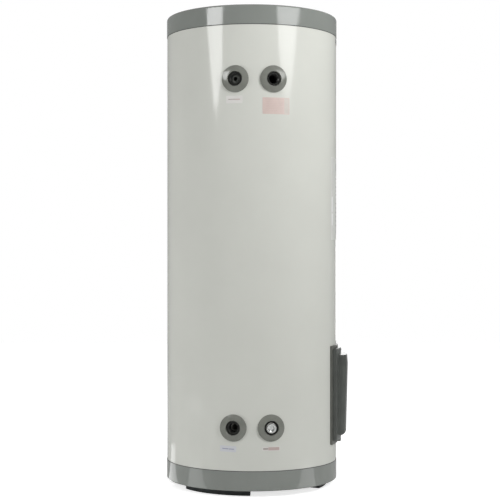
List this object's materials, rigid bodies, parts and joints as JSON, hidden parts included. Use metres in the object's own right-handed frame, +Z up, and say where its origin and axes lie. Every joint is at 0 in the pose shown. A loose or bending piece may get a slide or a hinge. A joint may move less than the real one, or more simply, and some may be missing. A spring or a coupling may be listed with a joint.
{
  "type": "tank water heater",
  "caption": "Free-standing electric storage water heater: a tall painted cylinder with grey end covers, pipe ports in front and an element cover on its side.",
  "frame": {"origin": "on the tank's axis at floor level", "axes": "+Z up along the tank's axis, -Y towards the pipe ports, +X towards the element cover"},
  "size_m": [0.64, 0.6077, 1.6543],
  "materials": {
    "jacket": "satin",
    "casing_cover": "satin",
    "foot": "matte",
    "vessel": "gloss",
    "foam": "matte",
    "socket": "matte",
    "collar": "satin",
    "liner": "matte",
    "plug": "satin",
    "washer": "matte",
    "gasket": "matte",
    "brass": "satin",
    "element": "satin",
    "fastener": "satin",
    "bracket": "satin",
    "moulding": "matte",
    "dial": "satin",
    "button": "gloss",
    "wire_brown": "satin",
    "wire_blue": "satin",
    "wire_orange": "satin",
    "wire_earth": "satin",
    "element_cover": "satin",
    "seal": "matte",
    "magnesium": "matte",
    "cap": "satin",
    "label_white": "satin",
    "label_pink": "satin",
    "label_lilac": "satin",
    "label_rating": "satin",
    "badge": "polished"
  },
  "bodies": {
    "tank": {"jacket": "jacket", "top_cover": "casing_cover", "base_cover": "casing_cover", "foot_1": "foot", "foot_2": "foot", "foot_3": "foot", "barrel": "vessel", "top_dome": "vessel", "bottom_dome": "vessel", "insulation": "foam", "base_pad": "foam", "hot_outlet_socket": "socket", "relief_valve_socket": "socket", "cold_inlet_socket": "socket", "drain_socket": "socket", "hot_outlet_collar": "collar", "relief_valve_collar": "collar", "cold_inlet_collar": "collar", "drain_collar": "collar", "hot_outlet_liner": "liner", "cold_inlet_diffuser": "liner", "element_port": "vessel", "element_gasket": "gasket", "element_flange": "brass", "element_tubes": "element", "element_terminals": "brass", "element_bolts": "fastener", "thermostat_bracket": "bracket", "thermostat_body": "moulding", "terminal_block": "moulding", "earth_stud": "brass", "active_wire": "wire_brown", "neutral_wire": "wire_blue", "switched_wire": "wire_orange", "earth_wire": "wire_earth", "cover_frame": "element_cover", "cover_seal": "seal", "cable_entry": "element_cover", "anode_socket": "vessel", "anode_head": "brass", "anode_core": "element", "anode_rod": "magnesium", "anode_plug": "foam", "hot_outlet_label": "label_white", "relief_valve_label": "label_pink", "cold_inlet_label": "label_lilac", "drain_label": "label_pink", "rating_label": "label_rating", "badge": "badge"},
    "element_cover": {"access_cover": "element_cover", "cover_screws": "fastener"},
    "thermostat_dial": {"thermostat_dial": "dial"},
    "reset_button": {"reset_button": "button"},
    "anode_cap": {"anode_cap": "cap"},
    "drain_washer": {"drain_washer": "washer"},
    "drain_plug": {"drain_plug": "plug"}
  },
  "joints": [
    {"name": "cover_slide", "type": "slide", "parent": "tank", "child": "element_cover", "axis": [1, 0, 0], "range_m": [0, 0.15]},
    {"name": "dial_turn", "type": "hinge", "parent": "tank", "child": "thermostat_dial", "pos_m": [0.2925, 0, 0.345], "axis": [1, 0, 0], "range_deg": [-120, 120]},
    {"name": "reset_press", "type": "slide", "parent": "tank", "child": "reset_button", "axis": [-1, 0, 0], "range_m": [0, 0.002], "stiffness_N_per_m": 600},
    {"name": "cap_lift", "type": "slide", "parent": "tank", "child": "anode_cap", "axis": [0, 0, 1], "range_m": [0, 0.06]},
    {"name": "drain_travel", "type": "slide", "parent": "tank", "child": "drain_washer", "axis": [0.2147, -0.9767, 0], "range_m": [0, 0.0104]},
    {"name": "drain_turn", "type": "hinge", "parent": "drain_washer", "child": "drain_plug", "pos_m": [0.06506, -0.29593, 0.231], "axis": [0.2147, -0.9767, 0], "range_deg": [0, 1620]}
  ],
  "couplings": [
    {"joint": "drain_travel", "follows": "drain_turn", "m_per_rad": 0.0003675}
  ]
}
